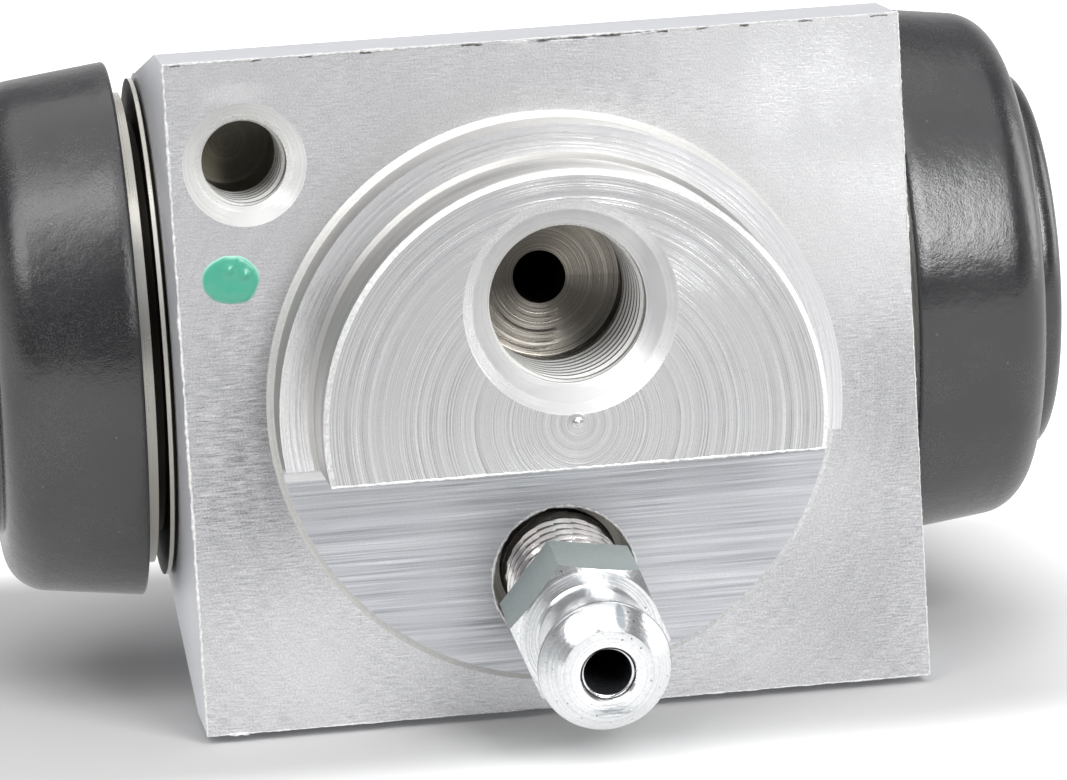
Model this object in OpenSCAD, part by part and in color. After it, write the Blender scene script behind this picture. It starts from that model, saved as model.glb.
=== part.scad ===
// Wheel cylinder of a drum brake: a machined aluminium body with a locating boss, an inlet port,
// a tilted bleed screw, two sprung pistons and a rubber boot on each end.
// X runs along the bore, the boss looks along -Y and Z is up. The origin lies on the boss axis,
// in the plane of the mounting face. All lengths are millimetres.

/* [Flange] */
// Width of the flange along the bore
flange_w = 42.4; // [40:0.2:46]
// Height of the flange above the boss axis
flange_up = 20.7; // [19.5:0.1:24]
// Height of the flange below the boss axis
flange_down = 18.2; // [17.5:0.1:22]
// Thickness of the flange at its top and bottom edges
flange_t = 6.4; // [5:0.1:8]

/* [Barrel] */
// Diameter of the bore
bore_d = 20.64; // [19:0.01:22.3]
// Depth of the bore axis behind the mounting face
axis_y = 23; // [22:0.1:26]
// Height of the bore axis above the boss axis
axis_z = 2.5; // [1:0.1:4]
// Diameter of the barrel behind the flange
barrel_d = 30.8; // [30.4:0.1:33]
// How far the sloping webs end inside the barrel's skin
web_bite = 0.1; // [0.05:0.05:0.5]
// Diameter of the narrow relief beside the flange
relief_ring_d = 28.4; // [27.8:0.1:29]
// Width of the narrow relief beside the flange
relief_ring_w = 0.25; // [0.2:0.05:0.5]
// Diameter of the thin turned collar
collar_d = 30.2; // [29.4:0.1:30.4]
// Width of the thin turned collar
collar_w = 0.25; // [0.2:0.05:0.5]
// Diameter of the groove beside the collar
groove_d = 24.8; // [24:0.1:26]
// Width of the groove beside the collar
groove_w = 0.6; // [0.4:0.05:1]
// Diameter of the land that carries the boot
land_d = 28.6; // [28:0.1:29.2]
// Width of the land that carries the boot
land_w = 3.7; // [3:0.1:4.4]
// Chamfer at the mouths of the bore and the edges of the land
mouth_c = 0.6; // [0.3:0.05:1]

/* [Boss] */
// Diameter of the spigot that locates the part
spigot_d = 32.4; // [31.4:0.1:33.4]
// Height of the spigot above the mounting face
spigot_h = 3.8; // [3:0.1:4.6]
// Diameter of the raised port face
boss_d = 28.6; // [27:0.1:30]
// Height of the raised port face above the mounting face
boss_h = 9.8; // [8:0.1:12]
// Height of the milled flat above the mounting face
flat_h = 0.5; // [0.3:0.05:1]
// Distance of the milled step below the boss axis
step_z = 2.55; // [1.5:0.05:3.5]
// Corner radius that the mill leaves at the foot of the step
step_r = 1.4; // [0.6:0.1:2]
// Size of the chamfered foot around the spigot
spigot_foot = 0.4; // [0.2:0.05:0.6]
// Size of the chamfered foot around the raised face
boss_foot = 0.3; // [0.2:0.05:0.5]
// Chamfer around the raised face
boss_c = 0.3; // [0.1:0.05:0.5]

/* [Inlet port] */
// Height of the port above the boss axis
port_z = 6.55; // [5.5:0.05:7]
// Diameter of the tapped wall of the port
port_d = 9; // [8:0.1:9.4]
// Depth of the tapped wall below the raised face
port_depth = 10.6; // [9:0.1:12]
// Diameter of the countersink of the port
port_csk_d = 12.2; // [11:0.1:13]
// Diameter of the relief below the thread
relief_d = 10.2; // [9.8:0.1:11]
// Width of the relief below the thread
relief_w = 1.4; // [1:0.1:1.8]
// Height of the shallow cone at the bottom of the port, down to its point
port_cone = 1.5; // [0.8:0.1:2.2]
// Diameter of the feed hole from the port to the bore
feed_d = 3.1; // [2:0.1:4]

/* [Mounting hole] */
// Distance of the mounting hole from the boss axis along the bore
mount_x = 16.9; // [16:0.1:17.5]
// Height of the mounting hole above the boss axis
mount_z = 14.7; // [13.5:0.1:15.5]
// Diameter of the tapped wall of the mounting hole
mount_d = 5; // [4.2:0.1:5.4]
// Depth of the tapped wall of the mounting hole
mount_depth = 12.4; // [10:0.1:13]
// Diameter of the countersink of the mounting hole
mount_csk_d = 7.1; // [6.4:0.1:7.6]
// Point angle of the drill that makes the mounting hole
drill_angle = 118; // [90:1:140]

/* [Bleed screw] */
// Distance of the bleed screw below the boss axis, on the milled flat
bleed_z = 10.6; // [9.5:0.05:11.5]
// Downward tilt of the bleed screw
bleed_tilt = 8.7; // [6:0.1:14]
// Turn of the hexagon about the screw's axis
hex_turn = -9; // [-30:1:30]
// Diameter of the bleed screw's thread
thread_d = 7; // [6:0.1:7.4]
// Length of thread below the milled flat
thread_depth = 8.5; // [7:0.1:9.5]
// Length of thread that stands out of the milled flat
thread_out = 5.35; // [4:0.05:6.5]
// Diameter of the counterbore around the thread
cbore_d = 8.4; // [7.8:0.1:9]
// Depth of the counterbore around the thread
cbore_depth = 2.4; // [1.5:0.1:3.5]
// Width of the hexagon across its flats
hex_af = 8; // [7.6:0.1:9]
// Thickness of the hexagon
hex_t = 4.65; // [3.5:0.05:6]
// How far the hexagon's chamfer reaches inside its flats
hex_bite = 0.1; // [0.05:0.05:0.4]
// Diameter of the neck between the hexagon and the hose barb
neck_d = 6.1; // [5.6:0.1:7]
// Length of the neck
neck_l = 3.85; // [2.5:0.05:5]
// Diameter of the hose barb
barb_d = 7.55; // [7.2:0.05:8.4]
// Length of the barb's widest band
barb_band = 0.3; // [0.2:0.05:1]
// Length of the barb's taper to the tip
barb_l = 1.4; // [1:0.1:3]
// Diameter of the flat tip
tip_d = 5.2; // [4.6:0.1:6]
// Diameter of the hole along the screw
tip_hole_d = 3; // [2:0.1:3.4]
// Space between the end of the thread and the seat in the body
seat_space = 0.5; // [0.3:0.1:1]
// Diameter of the plain neck below the thread
seat_neck_d = 5.2; // [4.8:0.1:5.6]
// Diameter of the cross hole in that neck
cross_d = 1.1; // [0.6:0.1:1.2]
// Diameter of the passage from the seat to the bore
passage_d = 2.4; // [1.6:0.1:2.8]

/* [Pistons] */
// Distance between the inner ends of the pistons
piston_space = 18; // [15:0.5:20]
// Length of a piston's guide in the bore
guide_l = 16; // [15:0.1:17]
// Diameter of a piston's nose
nose_d = 15; // [14:0.1:16]
// Distance from the end of the boot back to the end of the nose
nose_back = 0.6; // [0.3:0.1:1]
// Depth of the groove that holds the boot on the nose
nose_groove = 0.6; // [0.4:0.05:0.9]
// Width of the groove that holds the boot on the nose
nose_groove_w = 1.4; // [1:0.1:1.6]
// Width of the slot for the brake shoe's web
slot_w = 5.2; // [4.6:0.1:6]
// Depth of the slot for the brake shoe's web
slot_depth = 7; // [6:0.1:7.4]
// Edge chamfer of the piston
piston_c = 0.4; // [0.2:0.05:0.8]

/* [Seals] */
// Distance from a piston's inner end to its seal groove
seal_in = 3; // [2.4:0.1:4]
// Width of the seal groove
seal_w = 3.6; // [3:0.1:4]
// Depth of the seal groove
seal_depth = 2.7; // [2:0.1:3]
// Depth of the channel between the two lips of the seal
lip_depth = 1.7; // [1:0.1:2]
// Thickness of the seal's lips at their tips
lip_tip = 0.35; // [0.2:0.05:0.5]

/* [Return spring] */
// Outer diameter of the spring
spring_d = 10.4; // [9:0.1:11]
// Diameter of the spring's wire
wire_d = 1.2; // [0.9:0.1:1.5]
// Number of turns of the spring
spring_turns = 8; // [6:1:9]
// Depth of the spring's seat in each piston
spring_seat = 4; // [3:0.1:5]

/* [Boots] */
// Distance from the side of the flange to the rim of a boot
boot_gap = 1.8; // [1.6:0.05:2.4]
// Thickness of a boot around the land, at its rim
rim_wall = 1.9; // [1.7:0.05:2.4]
// Thickness of a boot around the land, at its shoulder
shoulder_wall = 1.2; // [1:0.05:1.6]
// Length from the rim to the end face of a boot
boot_l = 8.3; // [8:0.1:9]
// Radius of the shoulder of a boot
shoulder_r = 2.7; // [2:0.1:3]
// Diameter of the raised disc on the end of a boot
disc_d = 23.5; // [22.4:0.1:24.2]
// Height of the raised disc on the end of a boot
disc_h = 1.5; // [1.3:0.1:1.8]
// Radius at the edge of the raised disc
disc_r = 1.2; // [0.8:0.1:1.2]
// Thickness of a boot's end wall
boot_wall = 1.5; // [1.2:0.1:1.8]
// Width of the bead that grips the land
bead_w = 1.2; // [0.8:0.1:1.6]

/* [Clearances] */
// Radial clearance of the pistons in the bore and of the bleed screw in its thread
run_gap = 0.05; // [0.03:0.01:0.08]
// Clearance of the rubber and the spring to what carries them
seat_gap = 0.1; // [0.05:0.01:0.2]

/* [Hidden] */
$fn = 64;
over = 1;
side_x = flange_w / 2;
relief_ring_x = side_x + relief_ring_w;
collar_x = relief_ring_x + collar_w;
land_x = collar_x + groove_w;
barrel_x = land_x + land_w;
inner_x = piston_space / 2;
rim_x = side_x + boot_gap;
end_x = rim_x + boot_l;
disc_x = end_x + disc_h;
nose_x = disc_x - nose_back;
piston_d = bore_d - 2 * run_gap;
guide_x = inner_x + guide_l;
bead_mid_x = (end_x - boot_wall + nose_x) / 2;
groove_r = piston_d / 2 - seal_depth;
seal_x = inner_x + seal_in;
seat_x = inner_x + spring_seat;
shank_d = thread_d - 2 * run_gap;
seat_z = -thread_depth - seat_space;
hex_z = thread_out + hex_t;
hex_d = hex_af / cos(30);
hex_face_d = hex_af - hex_bite;
barb_z = hex_z + neck_l + (barb_d - neck_d) / 2;
tip_z = barb_z + barb_band + barb_l;
passage_l = (axis_y + flat_h) / cos(bleed_tilt);
arc_steps = 8;
wire_sides = 8;
turn_steps = 20;

// Points of an arc about centre c, from angle a to angle b
function arc(c, r, a, b) = [
    for (i = [0:arc_steps])
        let (t = a + (b - a) * i / arc_steps)
        c + r * [cos(t), sin(t)]
];

// Point where a line from p just bites into the barrel; side is 1 above the axis and -1 below it
function web_point(p, side) =
    let (to_axis = [axis_y, axis_z] - p,
         far = norm(to_axis),
         r = barrel_d / 2 - web_bite,
         angle = atan2(to_axis.y, to_axis.x) + side * asin(r / far))
    p + sqrt(far * far - r * r) * [cos(angle), sin(angle)];

// Puts the children's Z axis on the bore, pointing along +X
module on_bore() {
    translate([0, axis_y, axis_z])
        rotate([0, 90, 0])
            children();
}

// Puts the children's Z axis out of the mounting face, at a place on the face
module on_face(x, z) {
    translate([x, 0, z])
        rotate([90, 0, 0])
            children();
}

// Puts the children's Z axis on the bleed screw's axis, with zero on the milled flat
module on_bleed() {
    translate([0, -flat_h, -bleed_z])
        rotate([90 + bleed_tilt, 0, 0])
            children();
}

// Section of the extruded body: the flange, the barrel and the sloping webs between them
module body_section() {
    top = [flange_t, flange_up];
    bottom = [flange_t, -flange_down];
    union() {
        polygon([[0, flange_up], top, web_point(top, 1), [axis_y, axis_z],
                 web_point(bottom, -1), bottom, [0, -flange_down]]);
        translate([axis_y, axis_z])
            circle(d = barrel_d);
    }
}

// Turned end of the barrel: relief, thin collar, groove and the land that the boot grips
module barrel_end() {
    rotate_extrude()
        polygon([[0, side_x - over], [relief_ring_d / 2, side_x - over],
                 [relief_ring_d / 2, relief_ring_x], [collar_d / 2, relief_ring_x],
                 [collar_d / 2, collar_x], [groove_d / 2, collar_x],
                 [groove_d / 2, land_x], [land_d / 2, land_x],
                 [land_d / 2, barrel_x - mouth_c], [land_d / 2 - mouth_c, barrel_x],
                 [0, barrel_x]]);
}

// Chamfered bore mouth, at one end of the barrel
module bore_mouth() {
    translate([0, 0, barrel_x - mouth_c])
        cylinder(d1 = bore_d, d2 = bore_d + 4 * mouth_c, h = 2 * mouth_c);
}

// Turned boss: the spigot and the raised port face, each with a small chamfered foot
module boss() {
    spigot_r = spigot_d / 2;
    boss_r = boss_d / 2;
    on_face(0, 0)
        rotate_extrude()
            polygon([[0, -over], [spigot_r + spigot_foot, -over], [spigot_r + spigot_foot, 0],
                     [spigot_r, spigot_foot], [spigot_r, spigot_h],
                     [boss_r + boss_foot, spigot_h], [boss_r, spigot_h + boss_foot],
                     [boss_r, boss_h - boss_c], [boss_r - boss_c, boss_h], [0, boss_h]]);
}

// Path of the mill that leaves the step across the boss and the flat below it
module mill_cut() {
    corner = [-flat_h - step_r, -step_z - step_r];
    translate([-side_x, 0, 0])
        rotate([90, 0, 90])
            linear_extrude(flange_w)
                polygon(concat([[-flat_h, -flange_down - over]], arc(corner, step_r, 0, 90),
                               [[-boss_h - over, -step_z],
                                [-boss_h - over, -flange_down - over]]));
}

// Countersunk inlet port with its thread relief, cone and feed hole to the bore
module inlet_port() {
    relief_z = boss_h - port_depth;
    cone_z = relief_z - relief_w;
    csk_h = (port_csk_d - port_d) / 2;
    on_face(0, port_z) {
        translate([0, 0, boss_h - csk_h])
            cylinder(d1 = port_d, d2 = port_csk_d + 2 * over, h = csk_h + over);
        translate([0, 0, relief_z - over / 2])
            cylinder(d = port_d, h = port_depth);
        translate([0, 0, cone_z])
            cylinder(d = relief_d, h = relief_w);
        translate([0, 0, cone_z - port_cone])
            cylinder(d1 = 0, d2 = port_d, h = port_cone);
        translate([0, 0, -axis_y])
            cylinder(d = feed_d, h = axis_y + cone_z);
    }
}

// Countersunk blind mounting hole with a drilled cone at its end
module mounting_hole() {
    csk_h = (mount_csk_d - mount_d) / 2;
    cone_h = mount_d / 2 / tan(drill_angle / 2);
    on_face(-mount_x, mount_z) {
        translate([0, 0, -csk_h])
            cylinder(d1 = mount_d, d2 = mount_csk_d + 2 * over, h = csk_h + over);
        translate([0, 0, -mount_depth])
            cylinder(d = mount_d, h = mount_depth);
        translate([0, 0, -mount_depth - cone_h])
            cylinder(d1 = 0, d2 = mount_d, h = cone_h);
    }
}

// Tilted hole of the bleed screw: counterbore, thread, conical seat and passage to the bore
module bleed_hole() {
    seat_h = (thread_d - passage_d) / 2;
    on_bleed() {
        translate([0, 0, -cbore_depth])
            cylinder(d = cbore_d, h = cbore_depth + cbore_d / 2);
        translate([0, 0, seat_z])
            cylinder(d = thread_d, h = -seat_z);
        translate([0, 0, seat_z - seat_h])
            cylinder(d1 = passage_d, d2 = thread_d, h = seat_h);
        translate([0, 0, -passage_l])
            cylinder(d = passage_d, h = passage_l);
    }
}

// Body: an extruded section with turned ends and a turned, milled and drilled boss
module cylinder_body() {
    color("silver")
        difference() {
            union() {
                translate([-side_x, 0, 0])
                    rotate([90, 0, 90])
                        linear_extrude(flange_w)
                            body_section();
                on_bore() {
                    barrel_end();
                    mirror([0, 0, 1])
                        barrel_end();
                }
                difference() {
                    boss();
                    mill_cut();
                }
            }
            on_bore() {
                translate([0, 0, -barrel_x - over])
                    cylinder(d = bore_d, h = 2 * (barrel_x + over));
                bore_mouth();
                mirror([0, 0, 1])
                    bore_mouth();
            }
            inlet_port();
            mounting_hole();
            bleed_hole();
        }
}

// Hexagon of the bleed screw, chamfered on its outer face
module bleed_hexagon() {
    rise = (hex_d - hex_face_d) / 2 * tan(30);
    intersection() {
        translate([0, 0, thread_out])
            rotate([0, 0, hex_turn])
                cylinder(d = hex_d, h = hex_t, $fn = 6);
        rotate_extrude()
            polygon([[0, thread_out], [hex_d / 2 + over, thread_out],
                     [hex_d / 2 + over, hex_z - rise - over * tan(30)],
                     [hex_face_d / 2, hex_z], [0, hex_z]]);
    }
}

// Bleed screw: seat cone, thread, hexagon and hose barb, drilled from its tip to a cross hole
module bleed_screw() {
    neck_r = seat_neck_d / 2;
    cone_top = seat_z + neck_r - thread_d / 2 + 2 * run_gap;
    cone_r = passage_d / 2 - seat_gap;
    cross_z = (cone_top - thread_depth) / 2;
    color("gainsboro")
        on_bleed()
            difference() {
                union() {
                    rotate_extrude()
                        polygon([[0, cone_top - neck_r + cone_r], [cone_r, cone_top - neck_r + cone_r],
                                 [neck_r, cone_top], [neck_r, -thread_depth],
                                 [shank_d / 2, -thread_depth + (shank_d - seat_neck_d) / 2],
                                 [shank_d / 2, thread_out + over / 2], [0, thread_out + over / 2]]);
                    bleed_hexagon();
                    rotate_extrude()
                        polygon([[0, hex_z - over / 2], [neck_d / 2, hex_z - over / 2],
                                 [neck_d / 2, hex_z + neck_l], [barb_d / 2, barb_z],
                                 [barb_d / 2, barb_z + barb_band], [tip_d / 2, tip_z], [0, tip_z]]);
                }
                translate([0, 0, cross_z])
                    cylinder(d = tip_hole_d, h = tip_z - cross_z + over);
                translate([-thread_d, 0, cross_z])
                    rotate([0, 90, 0])
                        cylinder(d = cross_d, h = 2 * thread_d);
            }
}

// Right-hand piston: guide with a seal groove, grooved nose, shoe slot and spring seat
module piston() {
    r = piston_d / 2;
    nose_r = nose_d / 2;
    groove_a = bead_mid_x - nose_groove_w / 2;
    groove_b = bead_mid_x + nose_groove_w / 2;
    difference() {
        rotate_extrude()
            polygon([[0, inner_x], [r - piston_c, inner_x], [r, inner_x + piston_c],
                     [r, seal_x], [groove_r, seal_x], [groove_r, seal_x + seal_w], [r, seal_x + seal_w],
                     [r, guide_x - piston_c], [r - piston_c, guide_x], [nose_r, guide_x],
                     [nose_r, groove_a], [nose_r - nose_groove, groove_a],
                     [nose_r - nose_groove, groove_b], [nose_r, groove_b],
                     [nose_r, nose_x - piston_c], [nose_r - piston_c, nose_x], [0, nose_x]]);
        translate([0, 0, inner_x - over])
            cylinder(d = spring_d + 4 * seat_gap, h = spring_seat + over);
        translate([-nose_d, -slot_w / 2, nose_x - slot_depth])
            cube([2 * nose_d, slot_w, slot_depth + over]);
    }
}

// Right-hand seal: a rubber ring with one lip on the piston and one on the bore
module piston_seal() {
    in_r = groove_r + run_gap;
    out_r = piston_d / 2 - seat_gap;
    a = seal_x + seat_gap;
    b = seal_x + seal_w - seat_gap;
    mid = (in_r + out_r) / 2;
    rotate_extrude()
        polygon([[in_r, a], [in_r + lip_tip, a], [mid, a + lip_depth],
                 [piston_d / 2 - lip_tip, a], [piston_d / 2, a], [out_r, a + lip_depth],
                 [out_r, b], [in_r, b]]);
}

// Right-hand boot: a tapered rubber cap with a raised disc that grips the piston's nose
module boot() {
    rim_r = land_d / 2 + rim_wall;
    shoulder = land_d / 2 + shoulder_wall;
    edge = disc_d / 2;
    hole_r = nose_d / 2 + seat_gap;
    land_r = land_d / 2 + run_gap;
    cavity_r = land_r + 2 * seat_gap;
    inside_x = end_x - boot_wall;
    bead_r = hole_r - nose_groove;
    bead_a = bead_mid_x - nose_groove_w / 2 + seat_gap;
    bead_b = bead_mid_x + nose_groove_w / 2 - seat_gap;
    rotate_extrude()
        polygon(concat(
            [[land_r, rim_x], [rim_r, rim_x]],
            arc([shoulder - shoulder_r, end_x - shoulder_r], shoulder_r, 8, 90),
            [[edge, end_x]],
            arc([edge - disc_r, disc_x - disc_r], disc_r, 0, 90),
            [[hole_r, disc_x], [hole_r, bead_b], [bead_r, bead_b], [bead_r, bead_a], [hole_r, bead_a],
             [hole_r, inside_x], [cavity_r - shoulder_r, inside_x],
             [cavity_r, inside_x - shoulder_r], [cavity_r, rim_x + bead_w], [land_r, rim_x + bead_w]]));
}

// Ring of points around the spring's wire at one step of the coil
function wire_ring(step) =
    let (turn = 360 * step / turn_steps,
         r = (spring_d - wire_d) / 2,
         reach = seat_x - seat_gap - wire_d / 2,
         x = -reach + 2 * reach * step / (spring_turns * turn_steps))
    [for (k = [0:wire_sides - 1])
        let (a = 360 * k / wire_sides,
             out = r + wire_d / 2 * cos(a))
        [out * cos(turn), out * sin(turn), x + wire_d / 2 * sin(a)]];

// Return spring: round wire swept along a coil between the two pistons
module return_spring() {
    steps = spring_turns * turn_steps;
    last = steps * wire_sides;
    points = [for (i = [0:steps]) each wire_ring(i)];
    skin = [for (i = [0:steps - 1], k = [0:wire_sides - 1])
        let (a = i * wire_sides,
             n = (k + 1) % wire_sides)
        each [[a + k, a + n, a + wire_sides + n], [a + k, a + wire_sides + n, a + wire_sides + k]]];
    start_cap = [for (k = [1:wire_sides - 2]) [0, k + 1, k]];
    end_cap = [for (k = [1:wire_sides - 2]) [last, last + k, last + k + 1]];
    color("slategray")
        on_bore()
            polyhedron(points, concat(skin, start_cap, end_cap));
}

// Mirrors a right-hand piece to the left end of the bore
module left_hand() {
    mirror([1, 0, 0])
        on_bore()
            children();
}

module left_piston() {
    color("lightgray")
        left_hand()
            piston();
}

module right_piston() {
    color("lightgray")
        on_bore()
            piston();
}

module left_piston_seal() {
    color("dimgray")
        left_hand()
            piston_seal();
}

module right_piston_seal() {
    color("dimgray")
        on_bore()
            piston_seal();
}

module left_boot() {
    color("darkslategray")
        left_hand()
            boot();
}

module right_boot() {
    color("darkslategray")
        on_bore()
            boot();
}

cylinder_body();
bleed_screw();
left_piston();
right_piston();
left_piston_seal();
right_piston_seal();
return_spring();
left_boot();
right_boot();
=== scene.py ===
"""Looks of a drum brake's wheel cylinder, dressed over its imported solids.

Lengths in the classes are millimetres in the part's own frame: X along the bore, -Y out of the
mounting face and Z up. Meshes are made in metres, and the studio's lengths are metres too, apart
from the camera's place.
"""
import logging
import math
from dataclasses import dataclass
from enum import Enum
from typing import Callable, Optional, Sequence, Union

import bmesh
import bpy
from mathutils import Matrix, Vector, noise


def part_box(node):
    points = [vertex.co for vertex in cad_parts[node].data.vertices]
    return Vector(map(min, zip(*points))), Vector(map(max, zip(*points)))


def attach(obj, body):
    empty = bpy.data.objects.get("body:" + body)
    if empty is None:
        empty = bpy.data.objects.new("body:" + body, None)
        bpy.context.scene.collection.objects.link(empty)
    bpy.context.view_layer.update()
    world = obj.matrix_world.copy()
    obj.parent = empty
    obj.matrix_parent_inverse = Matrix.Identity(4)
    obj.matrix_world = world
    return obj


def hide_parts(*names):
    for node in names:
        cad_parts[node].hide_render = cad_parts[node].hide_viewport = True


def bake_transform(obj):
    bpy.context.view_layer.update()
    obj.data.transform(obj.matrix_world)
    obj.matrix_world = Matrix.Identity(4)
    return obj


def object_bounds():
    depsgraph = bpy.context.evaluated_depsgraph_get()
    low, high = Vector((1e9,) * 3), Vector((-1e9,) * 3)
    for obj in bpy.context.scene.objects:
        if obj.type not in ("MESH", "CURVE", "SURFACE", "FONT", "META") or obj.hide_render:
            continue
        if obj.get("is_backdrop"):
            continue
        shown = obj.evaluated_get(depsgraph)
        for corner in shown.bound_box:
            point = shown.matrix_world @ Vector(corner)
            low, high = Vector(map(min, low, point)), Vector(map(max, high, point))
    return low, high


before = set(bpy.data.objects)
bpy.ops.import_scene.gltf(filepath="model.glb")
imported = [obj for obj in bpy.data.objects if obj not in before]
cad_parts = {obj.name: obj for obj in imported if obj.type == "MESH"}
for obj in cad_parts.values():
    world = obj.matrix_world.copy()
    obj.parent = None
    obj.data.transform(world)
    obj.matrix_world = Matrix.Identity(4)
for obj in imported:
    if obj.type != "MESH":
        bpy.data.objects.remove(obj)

LOG = logging.getLogger("wheel_cylinder")
MM = 0.001
TAU = 2 * math.pi
BORE_Y = 23.0
BORE_Z = 2.5
BLEED_TILT = 8.7

Pair = tuple[float, float]
Triple = tuple[float, float, float]
Piece = bpy.types.Object
Material = bpy.types.Material
Socket = bpy.types.NodeSocket
Value = Union[Socket, float, tuple, None]
Ring = list[Vector]

BLEED_AT: Triple = (0.0, -0.5, -10.6)
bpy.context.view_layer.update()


class Side(Enum):
    """End of the bore, as the sign of X."""

    LEFT = -1
    RIGHT = 1

    @property
    def word(self) -> str:
        """Name of the side, as the nodes spell it."""
        return self.name.lower()


class Zone(Enum):
    """Part of the body that a cutter left with its own finish, by the finish's name."""

    FACE = "brushed_face"
    FLAT = "milled_flat"
    RING = "turned_ring"
    RAISED = "turned_face"
    RIM = "burred_rim"
    WALL = "turned_wall"
    STEP = "milled_step"
    PORT_MOUTH = "port_countersink"
    PORT_WALL = "port_wall"
    PORT_FLOOR = "port_floor"
    MOUNT_MOUTH = "hole_countersink"
    MOUNT_WALL = "hole_wall"
    BLEED_HOLE = "bleed_hole"
    FOOT = "spigot_foot"
    TURNED_END = "turned_end"
    # Near-black finish standing in for the shade deep in the groove: painted shade.
    GROOVE = "painted_shade_groove"
    BORE = "honed_bore"
    SIDE = "extruded_side"


class Plating(Enum):
    """Part of the bleed screw with its own finish, by the finish's name."""

    PLATE = "zinc_plate"
    FLATS = "zinc_flats"
    THREAD = "zinc_thread"
    # Painted shade: dark inside of the tip's drilled hole.
    HOLLOW = "zinc_hollow_painted_shade"
    # Painted shade: dark colour near the thread's roots.
    ROOTS = "zinc_roots_painted_shade"


class Effect(Enum):
    """Shader node group that several finishes share, by its name."""

    TURNING = "turning marks"
    BRUSHING = "brush lines"
    GRAIN = "metal grain"
    SPECKS = "specks"


class Graph:
    """Wires shader nodes in one material, node group or world."""

    def __init__(self, tree: bpy.types.NodeTree) -> None:
        """Keeps the tree that the nodes go in."""
        self.tree = tree

    def feed(self, socket: Socket, value: Value) -> None:
        """Links or sets an input.

        Args:
            socket: Input that takes the value.
            value: Output to link, constant to set, or None to leave the input as it is.
        """
        if isinstance(value, Socket):
            self.tree.links.new(value, socket)
        elif value is not None:
            socket.default_value = value

    def node(self, kind: str, *values: Value, **settings: object) -> bpy.types.Node:
        """Adds a node.

        Args:
            kind: Type name of the node.
            *values: Values of its first inputs, in order.
            **settings: Properties of the node.

        Returns:
            The new node.
        """
        made = self.tree.nodes.new(kind)
        for key, setting in settings.items():
            setattr(made, key, setting)
        for socket, value in zip(made.inputs, values):
            self.feed(socket, value)
        return made

    def math(self, operation: str, *values: Value, clamp: bool = False) -> Socket:
        """Gives the result of a Math node, kept between 0 and 1 where clamp is set."""
        return self.node("ShaderNodeMath", *values, operation=operation, use_clamp=clamp).outputs[0]

    def vector(self, operation: str, *values: Value) -> Socket:
        """Gives the result of a Vector Math node, a number for DOT_PRODUCT and LENGTH."""
        made = self.node("ShaderNodeVectorMath", *values, operation=operation)
        return made.outputs[1 if operation in ("DOT_PRODUCT", "LENGTH") else 0]

    def noise(self, place: Value, scale: Value, detail: float = 2.0, rough: float = 0.5) -> Socket:
        """Gives noise in space, about 0.5 on average, with scale as its features a unit."""
        return self.node("ShaderNodeTexNoise", place, None, scale, detail, rough).outputs["Fac"]

    def line_noise(self, place: Value, scale: Value, rough: float) -> Socket:
        """Gives noise along a line, about 0.5 on average, in three octaves."""
        return self.node("ShaderNodeTexNoise", None, place, scale, 3.0, rough,
                         noise_dimensions="1D").outputs["Fac"]

    def span(self, value: Value, low: float, high: float, to_low: float = 0.0,
             to_high: float = 1.0, smooth: bool = False) -> Socket:
        """Maps a range of values to another, clamped, with eased ends where smooth is set."""
        return self.node("ShaderNodeMapRange", value, low, high, to_low, to_high,
                         interpolation_type="SMOOTHSTEP" if smooth else "LINEAR").outputs[0]

    def mix(self, share: Value, a: Value, b: Value) -> Socket:
        """Mixes two colours by the share of the second."""
        not_colours = [None] * 5
        return self.node("ShaderNodeMix", share, *not_colours, colour4(a), colour4(b),
                         data_type="RGBA").outputs[2]


def place_in_scene(name: str, data: bpy.types.ID) -> Piece:
    """Makes an object of a mesh, lamp or camera and links it to the scene."""
    made = bpy.data.objects.new(name, data)
    bpy.context.scene.collection.objects.link(made)
    return made


def colour4(value: Value) -> Value:
    """Gives a constant colour its alpha and leaves a socket as it is."""
    return value if isinstance(value, Socket) or len(value) == 4 else (*value, 1.0)


class EffectGroup(Graph):
    """One shared group: points and numbers in, numbers out."""

    def __init__(self, effect: Effect, outputs: Sequence[str], **inputs: str) -> None:
        """Starts the group.

        Args:
            effect: Group to make.
            outputs: Names of the outputs.
            **inputs: Kind of each input, Float or Vector.
        """
        super().__init__(bpy.data.node_groups.new(effect.value, "ShaderNodeTree"))
        for name, kind in inputs.items():
            self.tree.interface.new_socket(name, in_out="INPUT", socket_type=f"NodeSocket{kind}")
        for name in outputs:
            self.tree.interface.new_socket(name, in_out="OUTPUT", socket_type="NodeSocketFloat")
        self.given = self.node("NodeGroupInput").outputs[:len(inputs)]

    def finish(self, *values: Socket) -> None:
        """Feeds the group's outputs in order."""
        self.node("NodeGroupOutput", *values)


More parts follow.
